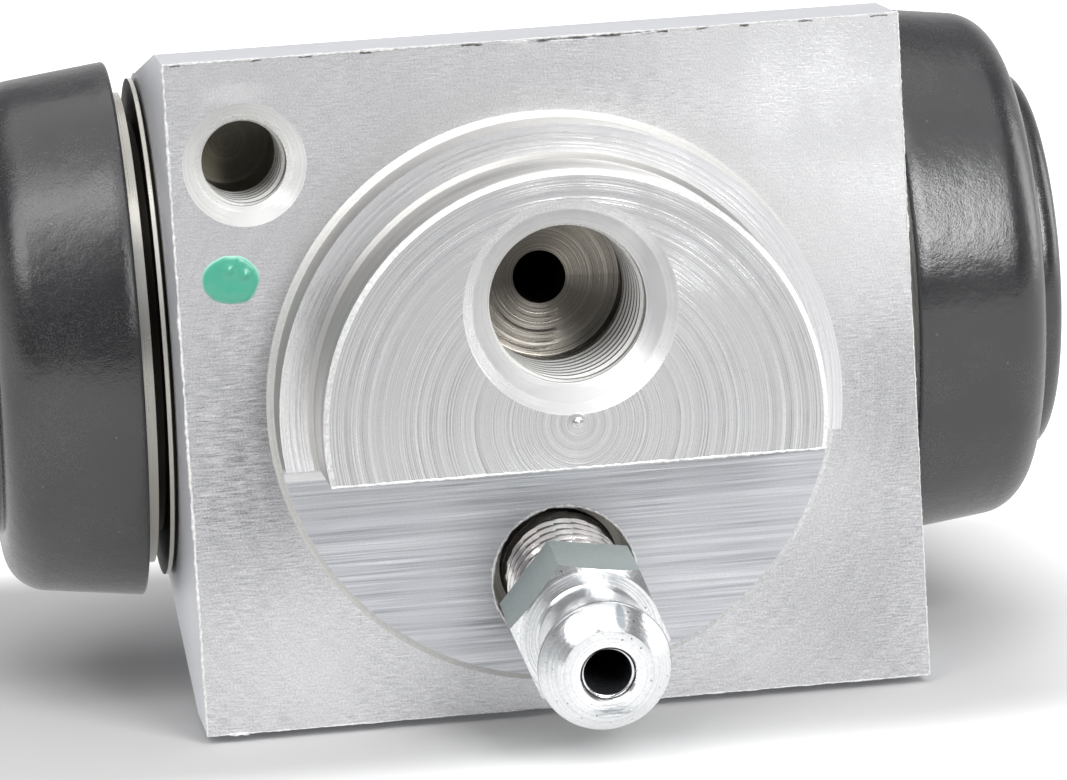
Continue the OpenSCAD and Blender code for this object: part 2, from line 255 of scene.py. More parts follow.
class Effects:
    """Makes the shared groups, each once."""

    def build(self) -> None:
        """Builds every group."""
        self.turning()
        self.brushing()
        self.grain()
        self.specks()

    def turning(self) -> None:
        """Makes the rings that a turning tool leaves around an axis."""
        graph = EffectGroup(Effect.TURNING, ("Fine", "Coarse", "Breaks"), Place="Vector",
                            Centre="Vector", Axis="Vector", Pitch="Float")
        place, centre, axis, pitch = graph.given
        offset = graph.vector("SUBTRACT", place, centre)
        along = graph.vector("DOT_PRODUCT", offset, axis)
        lengthwise = graph.vector("SCALE", axis, None, None, along)
        radius = graph.vector("LENGTH", graph.vector("SUBTRACT", offset, lengthwise))
        line = graph.math("DIVIDE", graph.math("MULTIPLY_ADD", along, 0.6, radius), pitch)
        line = graph.math("MULTIPLY_ADD", graph.noise(offset, 0.35, detail=1.0), 0.5, line)
        graph.finish(graph.line_noise(line, 1.0, 0.8), graph.line_noise(line, 0.22, 0.7),
                     graph.noise(offset, 0.3, 3.0, 0.6))

    def brushing(self) -> None:
        """Makes straight lines along X, with a length and a width."""
        graph = EffectGroup(Effect.BRUSHING, ("Lines", "Breaks"), Place="Vector", Length="Float",
                            Width="Float")
        place, length, width = graph.given
        shares = [graph.math("DIVIDE", 1.0, size) for size in (length, width, width)]
        scale = graph.node("ShaderNodeCombineXYZ", *shares).outputs[0]
        stretched = graph.vector("MULTIPLY", place, scale)
        graph.finish(graph.noise(stretched, 1.0, 3.0, 0.7), graph.noise(place, 0.16, 2.0, 0.6))

    def grain(self) -> None:
        """Makes an even grain and a slow unevenness."""
        graph = EffectGroup(Effect.GRAIN, ("Grain", "Patches"), Place="Vector", Size="Float")
        place, size = graph.given
        graph.finish(graph.noise(place, graph.math("DIVIDE", 1.0, size), 2.0, 0.6),
                     graph.noise(place, 0.12, 3.0, 0.55))

    def specks(self) -> None:
        """Makes scattered small specks."""
        graph = EffectGroup(Effect.SPECKS, ("Mask",), Place="Vector", Size="Float", Amount="Float")
        place, size, amount = graph.given
        scale = graph.math("DIVIDE", 1.0, size)
        cells = graph.node("ShaderNodeTexVoronoi", place, None, scale).outputs
        near = graph.span(cells["Distance"], 0.10, 0.30, 1.0, 0.0)
        parts = graph.node("ShaderNodeSeparateColor", cells["Color"]).outputs
        graph.finish(graph.math("MULTIPLY", near, graph.math("LESS_THAN", parts[0], amount)))


class Surface(Graph):
    """Graph of one material with its Principled shader and the point that is shaded."""

    def __init__(self, name: str, **constants: Value) -> None:
        """Starts the material.

        Args:
            name: Name of the material.
            **constants: Plain values of the shader's sockets, as in set.
        """
        self.material = bpy.data.materials.new(name)
        self.material.use_nodes = True
        super().__init__(self.material.node_tree)
        self.set(**constants)
        self.metres = self.node("ShaderNodeTexCoord").outputs["Object"]
        self.place = self.vector("SCALE", self.metres, None, None, 1 / MM)

    def set(self, **values: Value) -> None:
        """Feeds the shader's sockets, with spaces in their names written as underscores."""
        for key, value in values.items():
            self.feed(self.tree.nodes["Principled BSDF"].inputs[key.replace("_", " ")], value)

    def group(self, effect: Effect, *values: Value) -> list[Socket]:
        """Places a shared group at the point, and gives its outputs."""
        tree = bpy.data.node_groups[effect.value]
        return list(self.node("ShaderNodeGroup", self.place, *values, node_tree=tree).outputs)

    def bump(self, height: Socket) -> Socket:
        """Turns a height in micrometres into a normal."""
        return self.node("ShaderNodeBump", 1.0, MM * MM, None, height).outputs["Normal"]


@dataclass(frozen=True)
class Axis:
    """Line that a tool turned about."""

    centre: Triple
    direction: Triple = (0.0, 1.0, 0.0)


BORE_AXIS = Axis((0.0, BORE_Y, BORE_Z), (1.0, 0.0, 0.0))


@dataclass(frozen=True)
class TurnedMarks:
    """Rings about an axis, as shares of tone and as depth in micrometres."""

    axis: Axis
    pitch: float
    tone: float
    depth: float
    coarse: float = 0.6

    def draw(self, graph: Surface) -> tuple[Socket, Socket]:
        """Draws the rings.

        Args:
            graph: Material's graph.

        Returns:
            The change of tone about zero, and the height in micrometres.
        """
        axis = self.axis
        fine, coarse, breaks = graph.group(Effect.TURNING, axis.centre, axis.direction, self.pitch)
        lines = graph.math("MULTIPLY_ADD", coarse, self.coarse, fine)
        lines = graph.math("SUBTRACT", lines, 0.5 + 0.5 * self.coarse)
        lines = graph.math("MULTIPLY", lines, graph.span(breaks, 0.3, 0.7, 0.35, 1.5))
        return graph.math("MULTIPLY", lines, self.tone), graph.math("MULTIPLY", lines, self.depth)


@dataclass(frozen=True)
class BrushMarks:
    """Straight lines along X, as shares of tone and as depth in micrometres."""

    length: float
    width: float
    tone: float
    depth: float
    floor: float = 0.3

    def draw(self, graph: Surface) -> tuple[Socket, Socket]:
        """Draws the lines.

        Args:
            graph: Material's graph.

        Returns:
            The change of tone about zero, and the height in micrometres.
        """
        lines, breaks = graph.group(Effect.BRUSHING, self.length, self.width)
        strength = graph.span(breaks, 0.35, 0.65, self.floor, 1.4)
        lines = graph.math("MULTIPLY", graph.math("SUBTRACT", lines, 0.5), strength)
        return graph.math("MULTIPLY", lines, self.tone), graph.math("MULTIPLY", lines, self.depth)


@dataclass(frozen=True)
class GrainMarks:
    """Even grain with slow patches, as shares of tone and as depth in micrometres."""

    size: float
    tone: float
    depth: float
    patches: float = 0.3

    def draw(self, graph: Surface) -> tuple[Socket, Socket]:
        """Draws the grain.

        Args:
            graph: Material's graph.

        Returns:
            The change of tone about zero, and the height in micrometres.
        """
        made = graph.group(Effect.GRAIN, self.size)
        grain, patches = (graph.math("SUBTRACT", output, 0.5) for output in made)
        tone = graph.math("MULTIPLY", grain, self.tone)
        tone = graph.math("MULTIPLY_ADD", patches, self.patches, tone)
        return tone, graph.math("MULTIPLY", grain, self.depth)


@dataclass(frozen=True)
class ToneSpot:
    """Soft area where the surface is paler or darker, and more or less scratched."""

    centre: Triple
    reach: Triple
    tone: float
    scratch: float = 0.0
    rise: float = 4.0

    def draw(self, graph: Surface) -> tuple[Socket, Socket]:
        """Draws the area.

        Args:
            graph: Material's graph.

        Returns:
            The change of tone, and the height in micrometres.
        """
        offset = graph.vector("SUBTRACT", graph.place, self.centre)
        offset = graph.vector("MULTIPLY", offset, tuple(1 / reach for reach in self.reach))
        share = graph.span(graph.vector("LENGTH", offset), 0.0, 1.0, 1.0, 0.0, smooth=True)
        scratch_length, scratch_width = 1.6, 0.13
        lines, _ = graph.group(Effect.BRUSHING, scratch_length, scratch_width)
        lines = graph.math("MULTIPLY", graph.math("SUBTRACT", lines, 0.5), self.scratch)
        tone = graph.math("MULTIPLY", share, graph.math("ADD", lines, self.tone))
        return tone, graph.math("MULTIPLY", tone, self.rise)


@dataclass(frozen=True)
class ScratchArcs:
    """A few scratches around an axis, painted bright as glints within reach of one spot."""

    axis: Axis
    pitch: float
    tone: float
    spot: Triple
    reach: float
    rise: float = 8.0

    def draw(self, graph: Surface) -> tuple[Socket, Socket]:
        """Draws the scratches.

        Args:
            graph: Material's graph.

        Returns:
            The change of tone, and the height in micrometres.
        """
        fine, _, _ = graph.group(Effect.TURNING, self.axis.centre, self.axis.direction, self.pitch)
        away = graph.vector("LENGTH", graph.vector("SUBTRACT", graph.place, self.spot))
        share = graph.span(away, 0.4 * self.reach, self.reach, self.tone, 0.0, smooth=True)
        tone = graph.math("MULTIPLY", graph.span(fine, 0.55, 0.66), share)
        return tone, graph.math("MULTIPLY", tone, self.rise)


Marks = Union[TurnedMarks, BrushMarks, GrainMarks, ToneSpot, ScratchArcs]


@dataclass(frozen=True)
class MetalFinish:
    """Bare metal whose colour, gloss and relief follow the marks of its tool."""

    name: str
    dark: Triple
    light: Triple
    roughness: float
    marks: tuple[Marks, ...]
    metallic: float = 1.0
    specks: Optional[tuple[float, float, Triple]] = None
    gloss: float = 0.12

    def build(self) -> Material:
        """Makes the material.

        Returns:
            The material.
        """
        graph = Surface(self.name, Metallic=self.metallic)
        tone: Value = 0.5
        height: Value = 0.0
        for mark in self.marks:
            mark_tone, mark_height = mark.draw(graph)
            tone = graph.math("ADD", tone, mark_tone)
            height = graph.math("ADD", height, mark_height)
        colour = graph.mix(graph.math("MAXIMUM", tone, 0.0, clamp=True), self.dark, self.light)
        if self.specks:
            amount, size, speck_colour = self.specks
            mask = graph.group(Effect.SPECKS, size, amount)[0]
            colour = graph.mix(mask, colour, speck_colour)
        rough = graph.span(tone, 0.0, 1.0, self.roughness + self.gloss, self.roughness - self.gloss)
        graph.set(Base_Color=colour, Roughness=rough, Normal=graph.bump(height))
        return graph.material


@dataclass(frozen=True)
class RubberFinish:
    """Moulded rubber with a satin skin, slow waves and settled dust."""

    name: str
    dark: Triple
    light: Triple
    dust: Triple
    roughness: float
    dusty: float

    def build(self) -> Material:
        """Makes the material.

        Returns:
            The material.
        """
        graph = Surface(self.name, IOR=1.75)
        place = graph.place
        grain, patches = graph.group(Effect.GRAIN, 0.11)
        colour = graph.mix(graph.span(patches, 0.3, 0.7), self.dark, self.light)
        cloud = graph.span(graph.noise(place, 0.16, 4.0, 0.6), 0.40, 0.66, 0.2 * self.dusty, self.dusty)
        veil = graph.math("MULTIPLY", cloud, graph.span(grain, 0.40, 0.74))
        specks = graph.group(Effect.SPECKS, 0.4, self.dusty * 0.03)[0]
        for mask in (veil, specks):
            colour = graph.mix(mask, colour, self.dust)
        rough = graph.math("MULTIPLY_ADD", patches, 0.16, self.roughness - 0.08)
        rough = graph.math("MULTIPLY_ADD", veil, 0.3, rough)
        worn = graph.span(graph.noise(place, 0.09, 2.0, 0.5), 0.40, 0.62, 5.0, 22.0)
        waves = graph.noise(place, 0.7, 3.0, 0.6)
        height = graph.math("MULTIPLY_ADD", waves, 45.0, graph.math("MULTIPLY", grain, worn))
        graph.set(Base_Color=colour, Roughness=rough, Normal=graph.bump(height))
        return graph.material


@dataclass(frozen=True)
class PaintFinish:
    """Thin dab of inspection paint, paler where it runs out at its edge."""

    name: str
    body: Triple
    edge: Triple
    thickness: float
    roughness: float

    def build(self) -> Material:
        """Makes the material.

        Returns:
            The material.
        """
        graph = Surface(self.name, Roughness=self.roughness, IOR=1.5)
        out = graph.math("MULTIPLY", graph.node("ShaderNodeSeparateXYZ", graph.place).outputs["Y"], -1.0)
        grain, _ = graph.group(Effect.GRAIN, 0.5)
        tint = graph.math("MULTIPLY_ADD", grain, 0.35, graph.span(out, 0.0, self.thickness))
        colour = graph.mix(graph.span(tint, 0.25, 0.95, smooth=True), self.edge, self.body)
        graph.set(Base_Color=colour, Normal=graph.bump(graph.math("MULTIPLY", grain, 16.0)))
        return graph.material


def dress(piece: Piece, finishes: dict, zone_of: Callable[[Vector, Vector], Enum]) -> None:
    """Gives each face of a piece the finish of its zone.

    Args:
        piece: Piece to dress.
        finishes: Finish of each zone.
        zone_of: Tells the zone from a face's middle, in millimetres, and its normal.
    """
    order = list(finishes)
    piece.data.materials.clear()
    for finish in finishes.values():
        piece.data.materials.append(finish.build())
    for polygon in piece.data.polygons:
        polygon.material_index = order.index(zone_of(polygon.center / MM, polygon.normal))


def loft(name: str, rings: Sequence[Ring], wrap: bool = False, caps: bool = False,
         crease: float = 32.0) -> Piece:
    """Skins closed rings of points into one mesh.

    Args:
        name: Name of the piece.
        rings: Rings with equal counts of points, in millimetres.
        wrap: Joins the last ring to the first.
        caps: Closes the first and the last ring.
        crease: Angle in degrees past which an edge is sharp.

    Returns:
        The new object, linked to the scene.
    """
    count = len(rings[0])
    verts = [point * MM for ring in rings for point in ring]
    faces = []
    for low in range(len(rings) if wrap else len(rings) - 1):
        high = (low + 1) % len(rings)
        for here in range(count):
            after = (here + 1) % count
            faces.append((low * count + here, low * count + after,
                          high * count + after, high * count + here))
    if caps:
        last = (len(rings) - 1) * count
        faces.append(tuple(reversed(range(count))))
        faces.append(tuple(range(last, last + count)))
    return skin(name, verts, faces, crease)


def skin(name: str, verts: Sequence[Vector], faces: Sequence[tuple[int, ...]],
         crease: float = 32.0) -> Piece:
    """Makes a smooth-shaded object whose sharp edges stay sharp.

    Args:
        name: Name of the piece.
        verts: Points in metres.
        faces: Faces as indices.
        crease: Angle in degrees past which an edge is sharp.

    Returns:
        The new object, linked to the scene.
    """
    mesh = bpy.data.meshes.new(name)
    mesh.from_pydata(verts, [], faces)
    work = bmesh.new()
    work.from_mesh(mesh)
    bmesh.ops.recalc_face_normals(work, faces=work.faces)
    work.to_mesh(mesh)
    work.free()
    mesh.shade_smooth()
    mesh.set_sharp_from_angle(angle=math.radians(crease))
    return place_in_scene(name, mesh)


def join(name: str, parts: Sequence[Piece]) -> Piece:
    """Joins objects into one.

    Args:
        name: Name of the joined piece.
        parts: Objects to join.

    Returns:
        The joined object.
    """
    verts: list[Vector] = []
    faces: list[tuple[int, ...]] = []
    for part in parts:
        start = len(verts)
        verts.extend(part.matrix_world @ vertex.co for vertex in part.data.vertices)
        faces.extend(tuple(start + i for i in polygon.vertices) for polygon in part.data.polygons)
        bpy.data.objects.remove(part)
    return skin(name, verts, faces)


def unit_circle(count: int) -> list[Pair]:
    """Gives the cosine and the sine at equal steps around a circle."""
    return [(math.cos(TAU * i / count), math.sin(TAU * i / count)) for i in range(count)]


def arc(centre: Pair, radius: float, start: float, end: float, steps: int) -> list[Pair]:
    """Gives points of an arc.

    Args:
        centre: Centre of the arc.
        radius: Radius of the arc.
        start: First angle in degrees.
        end: Last angle in degrees.
        steps: Number of steps.

    Returns:
        The points, both ends included.
    """
    angles = [math.radians(start + (end - start) * i / steps) for i in range(steps + 1)]
    return [(centre[0] + radius * math.cos(a), centre[1] + radius * math.sin(a)) for a in angles]


def edge_line(a: Triple, b: Triple, step: float = 0.09) -> list[Vector]:
    """Gives points along a straight edge.

    Args:
        a: Start of the edge.
        b: End of the edge.
        step: Distance between points.

    Returns:
        The points.
    """
    start, end = Vector(a), Vector(b)
    count = max(2, int((end - start).length / step))
    return [start.lerp(end, i / count) for i in range(count + 1)]


def edge_arc(centre: Triple, stretch: float, radius: float, start: float, end: float,
             step: float = 0.09) -> list[Vector]:
    """Gives points along an arc that faces -Y.

    Args:
        centre: Centre of the arc.
        stretch: Stretch of the arc along Z.
        radius: Radius of the arc.
        start: First angle in degrees.
        end: Last angle in degrees.
        step: Distance between points.

    Returns:
        The points.
    """
    count = max(3, int(radius * math.radians(end - start) / step))
    flat = arc((0.0, 0.0), radius, start, end, count)
    return [Vector(centre) + Vector((x, 0.0, z * stretch)) for x, z in flat]


@dataclass
class Body:
    """Machined aluminium body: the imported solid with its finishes, threads, burrs and paint."""

    bore_r: float = 10.32
    side_x: float = 21.2
    top_z: float = 20.7
    bottom_z: float = -18.2
    spigot_r: float = 16.2
    spigot_h: float = 3.8
    boss_r: float = 14.3
    boss_h: float = 9.8
    boss_c: float = 0.3
    foot_h: float = 0.42
    foot_end: float = 4.0
    pip_r: float = 0.24
    flat_h: float = 0.5
    step_z: float = -2.55
    port: Triple = (0.0, 0.0, 6.55)
    port_r: float = 4.5
    port_mouth_r: float = 6.1
    relief_r: float = 5.1
    port_wall: Pair = (-8.2, 0.8)
    port_floor: float = 2.15
    mount: Triple = (-16.9, 0.0, 14.7)
    mount_r: float = 2.5
    mount_mouth_r: float = 3.55
    mount_tapped: Pair = (1.05, 7.6)
    thread_pitch: float = 1.0
    port_thread_h: float = 0.17
    mount_thread_h: float = 0.18
    bleed: Triple = BLEED_AT
    bleed_tilt: float = BLEED_TILT
    cbore_r: float = 4.2
    land_r: float = 14.3
    land_x: float = 22.3
    dab: Pair = (-18.13, 8.19)
    dab_half: Pair = (1.62, 1.42)
    dab_t: float = 0.16
    dab_drops: tuple[Pair, ...] = ((-18.25, 8.75), (-17.3, 8.4))
    nicks: tuple[Pair, ...] = (
        (-20.8, -20.2), (-16.1, -15.6), (-13.4, -12.7), (-9.9, -9.3), (-4.1, -2.9), (0.4, 1.4), (2.1, 3.1),
        (3.9, 5.1), (7.2, 7.8), (9.5, 10.1), (12.0, 12.5), (15.4, 16.2), (19.6, 20.6))
    near: float = 0.06
    node: str = "cylinder_body"

    @property
    def bleed_axis(self) -> Vector:
        """Direction in which the bleed screw points out of the body."""
        tilt = math.radians(self.bleed_tilt)
        return Vector((0.0, -math.cos(tilt), -math.sin(tilt)))

    def finishes(self) -> dict[Zone, MetalFinish]:
        """Gives the finish of each zone."""
        boss, port, mount = Axis((0.0, 0.0, 0.0)), Axis(self.port), Axis(self.mount)
        bleed = Axis(self.bleed, tuple(self.bleed_axis))
        grain = GrainMarks(0.11, 0.30, 4.0)
        looks = {
            Zone.FACE: ((0.17, 0.17, 0.185), (0.96, 0.96, 0.965), 0.42, (
                BrushMarks(0.9, 0.10, 0.75, 9.0, 0.35), GrainMarks(0.11, 0.66, 8.0, 0.21),
                TurnedMarks(boss, 0.16, 0.10, 2.0, 1.0),
                # Painted highlight: paler upper right, where the front-right lamp's reflection falls.
                ToneSpot((19.0, 0.0, 16.0), (15.0, 9.0, 15.0), 0.55),
                # Darker, more scratched area at the mid left: the scratches are marks, the darker tone is
                # painted shade.
                ToneSpot((-19.0, 0.0, -2.0), (9.0, 9.0, 14.0), -0.18, 1.1),
                # Painted light: paler lower left, standing in for the bright floor's reflection.
                ToneSpot((-17.0, 0.0, -15.0), (12.0, 9.0, 9.0), 0.06),
                # Painted light: paler bottom middle, lifting the shade there.
                ToneSpot((0.0, 0.0, -17.0), (9.0, 9.0, 3.0), 0.10),
                # Painted shade: the right side and the lower right darker, against the front-right lamp.
                ToneSpot((20.0, 0.0, -2.0), (6.0, 9.0, 11.0), -0.14),
                ToneSpot((17.0, 0.0, -14.0), (9.0, 9.0, 8.0), -0.14),
                ToneSpot((-17.2, 0.0, 18.8), (2.8, 9.0, 0.9), 0.35),
                ToneSpot((3.0, 0.0, 20.65), (8.0, 9.0, 0.32), -0.2, 8.0))),
            Zone.FLAT: ((0.30, 0.31, 0.335), (0.76, 0.77, 0.80), 0.36, (
                BrushMarks(16.0, 0.17, 1.7, 14.0, 0.6), BrushMarks(45.0, 0.6, 0.8, 6.0, 0.8),
                GrainMarks(0.10, 0.35, 3.0, 0.2))),
            Zone.RING: ((0.58, 0.58, 0.61), (0.97, 0.97, 0.97), 0.36, (
                TurnedMarks(boss, 0.16, 1.7, 11.0, 0.8), grain,
                # Painted reflection: the left of the turned ring paler, as its grooves would catch the light.
                ToneSpot((-15.0, -3.8, 3.0), (5.0, 9.0, 10.0), 0.55))),
            Zone.RAISED: ((0.32, 0.32, 0.33), (0.86, 0.86, 0.86), 0.36, (
                TurnedMarks(boss, 0.095, 2.0, 10.0, 0.6),
                GrainMarks(0.09, 0.45, 4.0, 0.15))),
            Zone.RIM: ((0.55, 0.55, 0.55), (1.0, 1.0, 0.99), 0.45, (
                GrainMarks(0.22, 1.6, 30.0), grain), 0.5),
            Zone.WALL: ((0.30, 0.296, 0.28), (0.72, 0.71, 0.69), 0.40, (
                TurnedMarks(boss, 0.14, 1.0, 5.0), grain,
                # Painted shade: the tops of the walls darker, against the overhead lamp.
                ToneSpot((0.0, -6.5, 14.3), (13.0, 3.0, 4.0), -0.7),
                # Painted light: the left of the walls paler.
                ToneSpot((-14.0, -6.5, 4.0), (4.0, 4.0, 9.0), 0.5))),
            Zone.STEP: ((0.50, 0.50, 0.50), (0.85, 0.85, 0.85), 0.36, (
                BrushMarks(9.0, 0.12, 0.8, 8.0), grain)),
            Zone.PORT_MOUTH: ((0.58, 0.58, 0.585), (0.95, 0.95, 0.945), 0.36, (
                TurnedMarks(port, 0.16, 1.9, 9.0, 1.0), grain,
                # Painted light: the countersink paler towards the hole.
                ToneSpot((0.0, -9.0, 6.55), (6.5, 99.0, 6.5), 1.7),
                # Painted shade: its right side darker.
                ToneSpot((5.3, -9.0, 7.3), (2.6, 9.0, 5.0), -0.8),
                # Painted shade: its lower side darker, against the overhead lamp.
                ToneSpot((-0.5, -9.0, 1.0), (4.5, 9.0, 1.9), -1.1)), 0.6),
            Zone.PORT_WALL: ((0.40, 0.385, 0.36), (0.90, 0.885, 0.85), 0.34, (
                TurnedMarks(port, 0.12, 0.9, 6.0), grain)),
            Zone.PORT_FLOOR: ((0.055, 0.051, 0.043), (0.44, 0.41, 0.365), 0.34, (
                TurnedMarks(port, 0.085, 1.3, 9.0, 0.4), grain,
                # Scratches painted bright as glints near the lower left of the port's floor.
                ScratchArcs(port, 0.16, 7.0, spot=(-1.2, 3.0, 4.0), reach=2.4),
                ToneSpot((-1.6, 3.0, 4.6), (3.4, 9.0, 3.4), -0.20))),
            Zone.MOUNT_MOUTH: ((0.60, 0.60, 0.595), (0.93, 0.93, 0.915), 0.38, (
                TurnedMarks(mount, 0.17, 1.7, 8.0), grain,
                # Painted light: the countersink paler towards the hole.
                ToneSpot((-16.9, 0.5, 14.7), (3.8, 99.0, 3.8), 1.8),
                # Painted shade: its lower side darker, against the overhead lamp.
                ToneSpot((-16.3, 0.5, 11.3), (3.4, 9.0, 1.8), -1.7)), 0.5),
            Zone.MOUNT_WALL: ((0.14, 0.13, 0.095), (0.44, 0.41, 0.35), 0.36, (
                TurnedMarks(mount, 0.16, 0.9, 10.0), grain)),
            Zone.BLEED_HOLE: ((0.14, 0.13, 0.11), (0.50, 0.48, 0.44), 0.36, (
                TurnedMarks(bleed, 0.2, 0.8, 8.0), grain)),
            Zone.FOOT: ((0.48, 0.475, 0.455), (0.90, 0.895, 0.87), 0.45, (
                TurnedMarks(boss, 0.10, 0.6, 4.0), GrainMarks(0.2, 0.6, 12.0)), 0.5),
            Zone.TURNED_END: ((0.52, 0.49, 0.42), (1.0, 0.98, 0.90), 0.28, (
                TurnedMarks(BORE_AXIS, 0.09, 0.4, 4.0), GrainMarks(0.11, 0.15, 2.0),
                # Painted highlight: the upper front of the turned end paler; painted shade: its lower part
                # darker.
                ToneSpot((-25.0, 9.0, 8.0), (9.0, 14.0, 5.0), 0.6),
                ToneSpot((-23.0, 10.0, -8.0), (6.0, 14.0, 9.0), -0.3)), 0.35),
            # Painted shade: near-black groove, standing in for the shade inside it.
            Zone.GROOVE: ((0.010, 0.009, 0.007), (0.06, 0.055, 0.045), 0.5, (
                TurnedMarks(BORE_AXIS, 0.09, 0.7, 6.0), grain)),
            Zone.BORE: ((0.45, 0.45, 0.45), (0.78, 0.78, 0.78), 0.22, (
                TurnedMarks(BORE_AXIS, 0.08, 0.4, 2.0), grain)),
            Zone.SIDE: ((0.54, 0.55, 0.58), (0.86, 0.87, 0.90), 0.44, (
                BrushMarks(11.0, 0.3, 0.4, 8.0, 0.6), GrainMarks(0.14, 0.35, 5.0, 0.3)), 0.5),
        }
        return {zone: MetalFinish(zone.value, *looks[zone]) for zone in Zone}

    def zone_of(self, centre: Vector, normal: Vector) -> Zone:
        """Tells which cutter made a face.

        Args:
            centre: Middle of the face, in millimetres.
            normal: Normal of the face.

        Returns:
            The zone.
        """
        x, y, z = centre
        off_port = math.hypot(x - self.port[0], z - self.port[2])
        off_mount = math.hypot(x - self.mount[0], z - self.mount[2])
        from_bleed = centre - Vector(self.bleed)
        off_bleed = (from_bleed - self.bleed_axis * from_bleed.dot(self.bleed_axis)).length
        off_boss = math.hypot(x, z)
        if math.hypot(y - BORE_Y, z - BORE_Z) < self.bore_r + self.near:
            return Zone.BORE
        if abs(x) > self.side_x + self.near:
            deep = math.hypot(y - BORE_Y, z - BORE_Z) < self.land_r - self.near
            inner = abs(x) < self.land_x + self.near and (deep or abs(normal.x) > 0.9)
            return Zone.GROOVE if inner else Zone.TURNED_END
        if off_port < self.port_mouth_r + self.near and y < self.port_wall[0] and normal.y > -0.9:
            return Zone.PORT_MOUTH
        if off_port < self.relief_r + self.near and y >= self.port_wall[0]:
            return Zone.PORT_FLOOR if y > self.port_floor else Zone.PORT_WALL
        if off_mount < self.mount_mouth_r + self.near and y > self.near:
            return Zone.MOUNT_MOUTH if y < self.mount_tapped[0] else Zone.MOUNT_WALL
        if normal.y < -0.99:
            planes = {Zone.FACE: 0.0, Zone.FLAT: -self.flat_h, Zone.RING: -self.spigot_h,
                      Zone.RAISED: -self.boss_h}
            return min(planes, key=lambda zone: abs(planes[zone] - y))
        if off_bleed < self.cbore_r + self.near and y > -self.boss_h / 2:
            return Zone.BLEED_HOLE
        if -self.boss_h - self.near < y < -self.near / 2 and off_boss < self.spigot_r + 1.0:
            if y < -self.boss_h + self.boss_c and off_boss > self.boss_r - 2 * self.boss_c:
                return Zone.RIM
            if y > -self.foot_h and off_boss > self.spigot_r - self.near:
                # Painted light: the foot's lower right takes the pale burred finish, lifting the shaded line
                # there.
                return Zone.RIM if z < self.step_z and x > self.foot_end else Zone.FOOT
            return Zone.STEP if normal.z < -0.2 and off_boss < self.spigot_r - self.near else Zone.WALL
        return Zone.SIDE

    def thread(self, name: str, hole: Triple, wall_r: float, wall: Pair, tall: float,
               materials: Sequence[Material]) -> None:
        """Adds the thread in a tapped hole, as a ridge that grows out of the wall at both ends.

        Args:
            name: Name of the piece.
            hole: Point on the hole's axis.
            wall_r: Radius of the hole's wall.
            wall: Y at the two ends of the wall.
            tall: Height of the thread over the wall.
            materials: Material of the flanks and of the crests, which are dark with painted shade.
        """
        pitch, sink, fade, steps = self.thread_pitch, 0.02, 0.35, 72
        foot, crest = 0.38 * pitch, 0.15 * pitch
        outer, inner = wall_r + sink, wall_r - tall
        section = [(outer, -foot), (inner, -crest), (inner, crest), (outer, foot)]
        turns = (wall[1] - wall[0] - 2 * foot) / pitch
        rings = []
        for i in range(int(turns * steps) + 1):
            turn = i / steps
            grown = min(1.0, turn / fade, (turns - turn) / fade)
            spoke = Vector((math.cos(TAU * turn), math.sin(TAU * turn), 0.0))
            rings.append([spoke * (outer + (radius - outer) * grown)
                          + Vector((0.0, 0.0, foot + pitch * turn + height)) for radius, height in section])
        made = loft(name, rings, caps=True)
        place = Matrix.Translation(Vector((hole[0], wall[0], hole[2])) * MM)
        made.matrix_world = place @ Matrix.Rotation(math.radians(-90), 4, "X")
        self.attach(made, *materials)
        for i, polygon in enumerate(made.data.polygons):
            polygon.material_index = int(i % len(section) == 1)

    def attach(self, piece: Piece, *materials: Material,
               slot: Optional[str] = "body_aluminium") -> None:
        """Dresses a piece and fixes it to the body.

        Args:
            piece: New piece.
            *materials: Its materials.
            slot: Not used.
        """
        for material in materials:
            piece.data.materials.append(material)
        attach(piece, "housing")
        LOG.info("%s added", piece.name)

    def edge_burr(self, name: str, path: Sequence[Vector], size: float, seed: int,
                  gaps: float = 0.35) -> Piece:
        """Makes the ragged burr that a cutter leaves along an edge.

        Args:
            name: Name of the piece.
            path: Points along the edge, in millimetres.
            size: Usual radius of the burr.
            seed: Seed of its raggedness.
            gaps: Level of noise under which the burr vanishes.

        Returns:
            The burr.
        """
        sides, slow_scale, quick_scale, wander_scale = 6, 0.7, 4.5, 3.0
        thinnest, swelling = 0.25, 1.6
        shift = seed * Vector((7.3, 3.1, 1.7))
        rings = []
        for i, point in enumerate(path):
            ahead = path[min(i + 1, len(path) - 1)] - path[max(i - 1, 0)]
            ahead.normalize()
            side = ahead.cross(Vector((0.0, 1.0, 0.0))).normalized()
            out = side.cross(ahead).normalized()
            slow = 0.5 + 0.5 * noise.noise(point * slow_scale + shift)
            quick = 0.5 + 0.5 * noise.noise(point * quick_scale + shift)
            swell = max(0.0, slow * 0.6 + quick * 0.6 - gaps)
            radius = size * (thinnest + swelling * swell)
            wander = side * size * 0.5 * noise.noise(point * wander_scale - shift)
            rings.append([point + wander + radius * (side * c + out * s) for c, s in unit_circle(sides)])
        return loft(name, rings, caps=True, crease=60.0)

